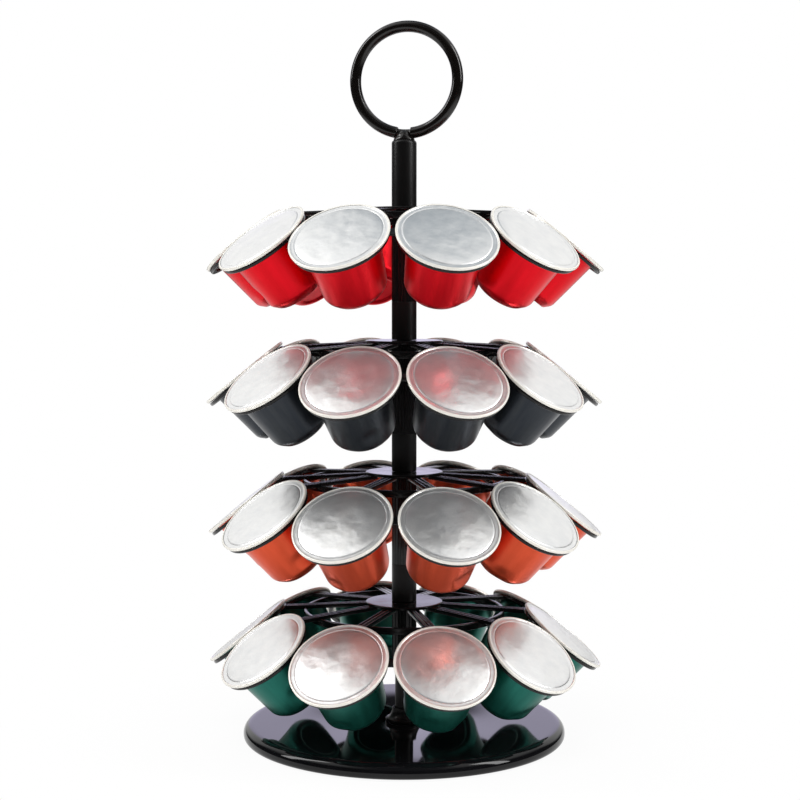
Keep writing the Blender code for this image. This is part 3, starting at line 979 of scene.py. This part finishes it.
def tie_frame(index):
    """Where a ring and the next one come closest."""
    meeting = cup_frame(index) @ neighbour_reach()[1]
    turn = Matrix.Rotation(CUP_STEP * (index + 1), 4, "Z")
    return Matrix.Translation(meeting) @ turn @ Matrix.Rotation(CUP_LEAN, 4, "X")


print("ring to halfway plane", round(neighbour_reach()[0] * 1000, 2), "mm")

# %% [markdown]
# ### Arms
# An arm is a thin strip that three ridges make stiff. Its section is drawn once and pulled in
# a straight line from the hub to the ring, which keeps the ridges even from end to end. Boxes
# side by side would leave seams.

# %% Arms
ARM_WIDTH = 0.0040
ARM_THICKNESS = 0.0015
ARM_GROOVE = 0.0005
ARM_ROUNDING = 0.00012
# Where the ridges and grooves lie, as shares of half the width
MIDDLE_RIDGE, GROOVE_START, GROOVE_END, EDGE_RIDGE = 0.18, 0.40, 0.56, 0.72
ARM_ROOT = Vector((0, -0.0133, 0.0107))
WALL_MIDDLE = Vector((0, 0.0166, CUP_MIDDLE))
ARM_TIP = Matrix.Rotation(CUP_LEAN, 4, "X") @ WALL_MIDDLE - Vector((0, CUP_CIRCLE_RADIUS, 0))
SHORTEST_ARM_EDGE = 0.01


def arm_shape():
    """One arm, drawn as a ridged section and pulled from the hub to the ring."""
    edge = ARM_WIDTH / 2
    top = ARM_THICKNESS / 2
    groove = top - ARM_GROOVE
    right_half = [
        (edge, -top),
        (edge, top),
        (edge * EDGE_RIDGE, top),
        (edge * GROOVE_END, groove),
        (edge * GROOVE_START, groove),
        (edge * MIDDLE_RIDGE, top),
    ]
    section = right_half + [(-across, up) for across, up in reversed(right_half)]
    shape = bmesh.new()
    points = [shape.verts.new((across, ARM_ROOT.y, ARM_ROOT.z + up)) for across, up in section]
    face = shape.faces.new(points)
    grown = bmesh.ops.extrude_face_region(shape, geom=[face])
    move_grown(shape, grown, ARM_TIP - ARM_ROOT)
    bmesh.ops.recalc_face_normals(shape, faces=shape.faces)
    along = [
        item
        for item in shape.edges
        if abs(item.verts[0].co.y - item.verts[1].co.y) > SHORTEST_ARM_EDGE
    ]
    round_edges(shape, along, ARM_ROUNDING, steps=2)
    return shape


for end, point in (("root", ARM_ROOT), ("tip", ARM_TIP)):
    print("arm", end, [round(size * 1000, 1) for size in point], "mm")

# %% [markdown]
# ### Hoop
# The hoop holds the arms apart a good way out from the hub. It is spun like the rings, and its
# height isn't measured but follows from the slope of the arms that lie on it.

# %% Hoop
HOOP_RADIUS = 0.0380
HOOP_HALF_WIDTH = 0.0007
HOOP_HEIGHT = 0.0026
HOOP_SINK = 0.0007
HOOP_ROUNDING = 0.0004
HOOP_SIDES = 120


def hoop_shape():
    """The hoop that ties the arms, with its top a little way up into them."""
    share_out = (HOOP_RADIUS + ARM_ROOT.y) / (ARM_ROOT.y - ARM_TIP.y)
    underside = ARM_ROOT.z + (ARM_TIP.z - ARM_ROOT.z) * share_out - ARM_THICKNESS / 2
    top = underside + HOOP_SINK
    inner, outer = HOOP_RADIUS - HOOP_HALF_WIDTH, HOOP_RADIUS + HOOP_HALF_WIDTH
    corners = ring_corners(inner, outer, top - HOOP_HEIGHT, top, HOOP_ROUNDING, HOOP_ROUNDING)
    return turned_shape(corners, HOOP_SIDES, closed=True)


print("hoop", HOOP_RADIUS * 2, "m across")

# %% [markdown]
# ### Hub disc and sleeve
# The disc carries the arms, and the sleeve below it has fine flutes. They could be a bump in
# the finish, but then the outline would stay smooth. So a circle gets its grooves first and
# is then pulled down.

# %% Hub disc and fluted sleeve
DISC_TOP = 0.0120
DISC_UNDERSIDE = 0.0108
DISC_RADIUS = 0.0148
DISC_FLAT_RADIUS = 0.0138
DISC_ROUNDING = 0.0004
DISC_SIDES = 96
HUB_BORE = 0.0029
POLE_RADIUS = 0.00475
FLUTES = 24
FLUTE_DEPTH = 0.00028
SIDES_PER_FLUTE = 6
SLEEVE_SINK = 0.0002


def hub_disc_shape():
    """The flat disc that the arms grow from."""
    corners = [
        (HUB_BORE, DISC_TOP, 0),
        (DISC_FLAT_RADIUS, DISC_TOP, 0),
        (DISC_RADIUS, DISC_TOP, DISC_ROUNDING),
        (DISC_RADIUS, DISC_UNDERSIDE, DISC_ROUNDING),
        (HUB_BORE, DISC_UNDERSIDE, 0),
    ]
    return turned_shape(corners, DISC_SIDES, closed=True)


def sleeve_shape(length):
    """The fluted sleeve below the disc: a circle with grooves, pulled down and closed."""
    shape = bmesh.new()
    sides = FLUTES * SIDES_PER_FLUTE
    bmesh.ops.create_circle(shape, cap_ends=False, segments=sides, radius=POLE_RADIUS)
    for vertex in shape.verts:
        around = math.atan2(vertex.co.y, vertex.co.x)
        groove = max(0.0, math.cos(FLUTES * around)) * FLUTE_DEPTH
        vertex.co.xy *= 1 - groove / POLE_RADIUS
    start = (0, 0, DISC_UNDERSIDE + SLEEVE_SINK)
    bmesh.ops.translate(shape, verts=shape.verts, vec=start)
    grown = bmesh.ops.extrude_edge_only(shape, edges=shape.edges[:])
    move_grown(shape, grown, (0, 0, -length - SLEEVE_SINK))
    bmesh.ops.holes_fill(shape, edges=shape.edges)
    bmesh.ops.recalc_face_normals(shape, faces=shape.faces)
    return shape


print("flutes", FLUTES)

# %% [markdown]
# ### Four tiers
# The pieces of the moulding are put together in one mesh, and the whole is then turned and
# lifted to its level. The lowest tier has a shorter sleeve, because it sits on the spindle's
# shoulder. The others reach a hair further down, to leave only a fine line above each tube.

# %% Four tiers
SLEEVE_LENGTH = 0.0343
LOWEST_SLEEVE_LENGTH = 0.0211
JOINT_REACH = 0.00014

cup_places = [cup_frame(index) for index in range(CUPS_PER_TIER)]
tie_places = [tie_frame(index) for index in range(CUPS_PER_TIER)]
arm_turns = [CUP_STEP * (index + 0.5) for index in range(CUPS_PER_TIER)]
arm_places = [Matrix.Rotation(turn, 4, "Z") for turn in arm_turns]
for level in LEVELS:
    tier = bmesh.new()
    sleeve_length = SLEEVE_LENGTH + JOINT_REACH if level else LOWEST_SLEEVE_LENGTH
    add_copies(tier, hub_disc_shape(), IN_PLACE)
    add_copies(tier, sleeve_shape(sleeve_length), IN_PLACE)
    add_copies(tier, arm_shape(), arm_places)
    add_copies(tier, hoop_shape(), IN_PLACE)
    add_copies(tier, ring_shape(), cup_places)
    add_copies(tier, tie_shape(), tie_places)
    bmesh.ops.transform(tier, matrix=tier_frame(level), verts=tier.verts)
    print("tier", level + 1, "faces", len(tier.faces))
    node = f"tier_{level + 1}"
    mesh = smooth_mesh(tier, node, (plastic,), sharp_degrees=35)
    add_piece(node + "_moulding", mesh, "carousel", [node])

# %% [markdown]
# ## Pole
# The pole is a stack: tubes slide over a long rod and the top tube clamps them. It could be
# one long cylinder, but all of it is turned work, so each length is one spun outline with
# softly broken edges, and the joints between them stay as fine dark lines.

# %% [markdown]
# ### Spacer tubes
# Three plain tubes keep the tiers apart. They are drawn a hair longer than the plain solids,
# so that the joints above and below them show as lines and not as gaps.

# %% Spacer tubes
TUBE_BORE = 0.0030
TUBE_ROUNDING = 0.00015
TUBE_SIDES = 96


def add_turned(node, corners, sides, finish, body, closed=False):
    """Spins an outline into a piece that stands for the node of the same name."""
    mesh = smooth_mesh(turned_shape(corners, sides, closed=closed), node, (finish,))
    return add_piece(node + "_turned", mesh, body, [node])


for number in LEVELS[1:]:
    node = f"spacer_tube_{number}"
    low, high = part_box(node)
    bottom, top = low.z - JOINT_REACH, high.z + JOINT_REACH
    corners = ring_corners(TUBE_BORE, POLE_RADIUS, bottom, top, 0, TUBE_ROUNDING)
    add_turned(node, corners, TUBE_SIDES, coat, "carousel", closed=True)
    print(node, round(bottom, 4), "to", round(top, 4))

# %% [markdown]
# ### Spindle
# The rod that everything is threaded on shows only between the collar and the lowest sleeve.
# It is still made whole, with its shoulder, its thin journal in the base and the hole for the
# screw, because a lesson in how the stand is built should have it.

# %% Spindle
SEAT_GAP = 0.0003
ROD_RADIUS = 0.0026
ROD_ROUNDING = 0.0003
SPINDLE_RADIUS = 0.0035
SPINDLE_ROUNDING = 0.0002
SPINDLE_SIDES = 48
SCREW_HOLE_RADIUS = 0.0018
SCREW_HOLE_END = 0.0203
SPINDLE_FOOT_ABOVE_BASE = 0.0012
SPINDLE_FOOT = BASE_TOP + SPINDLE_FOOT_ABOVE_BASE
LOWEST_DISC_UNDERSIDE = tier_frame(0).translation.z + DISC_UNDERSIDE
SPINDLE_SHOULDER = LOWEST_DISC_UNDERSIDE - LOWEST_SLEEVE_LENGTH - SEAT_GAP

low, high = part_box("centre_spindle")
corners = [
    (0.0, high.z, 0),
    (ROD_RADIUS, high.z, ROD_ROUNDING),
    (ROD_RADIUS, SPINDLE_SHOULDER, 0),
    (SPINDLE_RADIUS, SPINDLE_SHOULDER, SPINDLE_ROUNDING),
    (SPINDLE_RADIUS, SPINDLE_FOOT, 0),
    (ROD_RADIUS, SPINDLE_FOOT, 0),
    (ROD_RADIUS, low.z, 0),
    (SCREW_HOLE_RADIUS, low.z, 0),
    (SCREW_HOLE_RADIUS, SCREW_HOLE_END, 0),
    (0.0, SCREW_HOLE_END, 0),
]
add_turned("centre_spindle", corners, SPINDLE_SIDES, coat, "carousel")
print("spindle shoulder", round(SPINDLE_SHOULDER, 4))

# %% [markdown]
# ### Top tube
# The last tube ends in a rounded shoulder, which is the largest rounding on the pole, and has
# a blind hole for the rod. A cylinder with a bevelled end would look the same from outside.

# %% Top tube
HANDLE_RADIUS = 0.0200
WIRE_RADIUS = 0.00215
HANDLE_ABOVE_TOP_LIDS = 0.0600
HANDLE_CENTRE = tier_frame(LEVELS[-1]).translation.z + HANDLE_ABOVE_TOP_LIDS
TOP_END = HANDLE_CENTRE - HANDLE_RADIUS - WIRE_RADIUS - SEAT_GAP
SOCKET_DEPTH = 0.0120
TOP_ROUNDING = 0.0014
FOOT_ROUNDING = 0.00025

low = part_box("top_tube")[0]
corners = [
    (0.0, TOP_END, 0),
    (POLE_RADIUS, TOP_END, TOP_ROUNDING),
    (POLE_RADIUS, low.z, FOOT_ROUNDING),
    (TUBE_BORE, low.z, 0),
    (TUBE_BORE, low.z + SOCKET_DEPTH, 0),
    (0.0, low.z + SOCKET_DEPTH, 0),
]
add_turned("top_tube", corners, TUBE_SIDES, coat, "carousel")
print("top tube end", round(TOP_END, 5))

# %% [markdown]
# ## Handle
# The handle is one round wire bent into a ring, whose two ends meet on the end of the pole
# and are welded there. A torus would be close, but a circle spun about the ring's middle lets
# the wire change on its way: where it is welded it is ground a little thinner, which shows as
# two small steps on the inside of the ring.

# %% Ring handle
WIRE_SIDES = 48
HANDLE_STEPS = 576
HANDLE_TURN = math.radians(-15.7)
HANDLE_OFFSET = 0.0008
NECK_MIDDLE = -math.asin(HANDLE_OFFSET / HANDLE_RADIUS)
NECK_HALF_ANGLE = math.radians(8.5)
NECK_STEP = math.radians(1.5)
NECK_THINNING = 0.30


def thin_neck(vertex):
    """Draws a point towards the middle of the wire where the wire is ground thinner."""
    around = math.atan2(vertex.co.y, vertex.co.x)
    inside = (NECK_HALF_ANGLE - abs(around - NECK_MIDDLE)) / NECK_STEP
    thin = 1 - NECK_THINNING * min(1.0, max(0.0, inside))
    middle_of_wire = Vector((math.cos(around), math.sin(around), 0)) * HANDLE_RADIUS
    vertex.co = middle_of_wire + (vertex.co - middle_of_wire) * thin


def handle_shape():
    """A wire ring that stands upright, thinner for a short way where it meets the pole."""
    shape = bmesh.new()
    bmesh.ops.create_circle(shape, cap_ends=False, segments=WIRE_SIDES, radius=WIRE_RADIUS)
    on_edge = Matrix.Rotation(math.pi / 2, 3, "X")
    bmesh.ops.rotate(shape, verts=shape.verts, cent=(0, 0, 0), matrix=on_edge)
    bmesh.ops.translate(shape, verts=shape.verts, vec=(HANDLE_RADIUS, 0, 0))
    spin_about_z(shape, HANDLE_STEPS)
    close_surface(shape)
    for vertex in shape.verts:
        thin_neck(vertex)
    upright = Matrix.Rotation(math.pi / 2, 4, "X") @ Matrix.Rotation(-math.pi / 2, 4, "Z")
    turned = Matrix.Rotation(HANDLE_TURN, 4, "Z") @ Matrix.Translation((HANDLE_OFFSET, 0, 0))
    place = Matrix.Translation((0, 0, HANDLE_CENTRE)) @ turned @ upright
    bmesh.ops.transform(shape, matrix=place, verts=shape.verts)
    return shape


handle = smooth_mesh(handle_shape(), "handle_ring", (wire_coat,))
add_piece("handle_ring_bent", handle, "carousel", ["handle_ring"])
print("handle centre", round(HANDLE_CENTRE, 4))

# %% [markdown]
# ## Weld
# A small mound of weld stands between the wire and the end of the pole, under the same enamel.
# Sculpting would give it lumps, but a spun mound that noise swells a little here and there is
# enough for a bead of this size.

# %% Weld
# The heights are measured from the end of the pole.
WELD_OUTLINE = [
    (0.0, 0.0035, 0),
    (0.0014, 0.0034, 0.0005),
    (0.0026, 0.0024, 0.0008),
    (0.0034, 0.0012, 0.0006),
    (0.0041, 0.0001, 0.0004),
    (0.0040, -0.0003, 0),
    (0.0, -0.0003, 0),
]
WELD_SIDES = 64
WELD_LUMPS = (600, 0.05)

corners = [(out, TOP_END + up, rounding) for out, up, rounding in WELD_OUTLINE]
weld = turned_shape(corners, WELD_SIDES)
for vertex in weld.verts:
    swell = 1 + WELD_LUMPS[1] * noise.noise(vertex.co * WELD_LUMPS[0])
    vertex.co.x *= swell
    vertex.co.y *= swell
weld_mesh = smooth_mesh(weld, "handle_weld", (wire_coat,), sharp_degrees=60)
weld_piece = bpy.data.objects.new("handle_weld", weld_mesh)
scene.collection.objects.link(weld_piece)
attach(weld_piece, "carousel")
print("weld on the pole's end", len(weld_mesh.polygons), "faces")

# %% [markdown]
# ## Base
# The base is a thick steel disc with a rounded edge, under so much enamel that it mirrors the
# capsules. A cylinder with a bevel would do for a matt one. Here the outline is spun with
# many sides, because a mirror shows every corner, and an extra point just inside the edge
# keeps the top truly flat.

# %% Base plate
BASE_BORE = 0.0054
BASE_FLAT_RADIUS = 0.0575
BASE_RADIUS = 0.0621
BASE_UNDERSIDE = 0.0005
BASE_TOP_ROUNDING = 0.0034
BASE_FOOT_ROUNDING = 0.0016
PAD_RECESS_RADIUS = 0.0566
PAD_RECESS_CEILING = 0.0012
POCKET_RADIUS = 0.0088
POCKET_CEILING = 0.0030
SMALL_ROUNDING = 0.0002
BASE_SIDES = 180

corners = [
    (BASE_BORE, BASE_TOP, SMALL_ROUNDING),
    (BASE_FLAT_RADIUS, BASE_TOP, 0),
    (BASE_RADIUS, BASE_TOP, BASE_TOP_ROUNDING),
    (BASE_RADIUS, BASE_UNDERSIDE, BASE_FOOT_ROUNDING),
    (PAD_RECESS_RADIUS, BASE_UNDERSIDE, SMALL_ROUNDING),
    (PAD_RECESS_RADIUS, PAD_RECESS_CEILING, 0),
    (POCKET_RADIUS, PAD_RECESS_CEILING, 0),
    (POCKET_RADIUS, POCKET_CEILING, 0),
    (BASE_BORE, POCKET_CEILING, 0),
]
add_turned(
    "base_plate", corners, BASE_SIDES, enamel, "base", closed=True
)
print("base top", round(BASE_TOP, 4))

# %% [markdown]
# ## Foot collar
# The collar at the foot of the pole flares out in a hollow curve and hides the bearing. The
# curve could be a bevelled corner, but a quarter of an ellipse, written as a few points,
# follows the real one.

# %% Foot collar
COLLAR_RADIUS = 0.0072
COLLAR_NECK = 0.0046
COLLAR_BORE = 0.0039
COLLAR_RIM_HEIGHT = 0.0010
WASHER_ROOM_RADIUS = 0.0056
WASHER_ROOM_HEIGHT = 0.0012
FLARE_STEPS = 8
COLLAR_SIDES = 96
COLLAR_TOP_ROUNDING = 0.0001
COLLAR_RIM_ROUNDING = 0.0003

low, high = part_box("foot_collar")
rim_top = low.z + COLLAR_RIM_HEIGHT
corners = [(COLLAR_BORE, high.z, COLLAR_TOP_ROUNDING), (COLLAR_NECK, high.z, SMALL_ROUNDING)]
for step in range(1, FLARE_STEPS):
    turn = math.pi / 2 * step / FLARE_STEPS
    out = COLLAR_RADIUS - (COLLAR_RADIUS - COLLAR_NECK) * math.cos(turn)
    corners.append((out, high.z - (high.z - rim_top) * math.sin(turn), 0))
corners += [
    (COLLAR_RADIUS, rim_top, COLLAR_RIM_ROUNDING),
    (COLLAR_RADIUS, low.z, SMALL_ROUNDING),
    (WASHER_ROOM_RADIUS, low.z, 0),
    (WASHER_ROOM_RADIUS, low.z + WASHER_ROOM_HEIGHT, 0),
    (COLLAR_BORE, low.z + WASHER_ROOM_HEIGHT, 0),
]
add_turned(
    "foot_collar", corners, COLLAR_SIDES, coat, "base", closed=True
)
print("collar", round(low.z, 4), "to", round(high.z, 4))

# %% [markdown]
# ### Pad
# The stand rests on a flat rubber ring, which keeps the steel half a millimetre off the table.
# A pad cut from sheet has sharp edges, so its roundings are very small.

# %% Pad
PAD_INNER_RADIUS = 0.0110
PAD_OUTER_RADIUS = 0.0563
PAD_THICKNESS = 0.0009
PAD_SIDES = 120

corners = ring_corners(
    PAD_INNER_RADIUS, PAD_OUTER_RADIUS, 0.0, PAD_THICKNESS, SMALL_ROUNDING, SMALL_ROUNDING
)
pad = smooth_mesh(turned_shape(corners, PAD_SIDES, closed=True), "base_pad", (rubber,))
add_piece("base_pad_cut", pad, "base", ["base_pad"])
print("pad", PAD_THICKNESS, "m thick")

# %% [markdown]
# ## Hidden small pieces
# The bush, the washers and the screw sit inside the base or under it. They could be made
# again too, but their plain shapes are right as they are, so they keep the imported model's own
# solids and only get their real finishes.

# %% Finishes of the kept solids
KEPT = {
    "bearing_bush": nylon,
    "thrust_washer": nylon,
    "retaining_washer": zinc,
    "pivot_screw": zinc,
}
for node, finish in KEPT.items():
    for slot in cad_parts[node].material_slots:
        slot.material = finish
print("kept", sorted(KEPT))
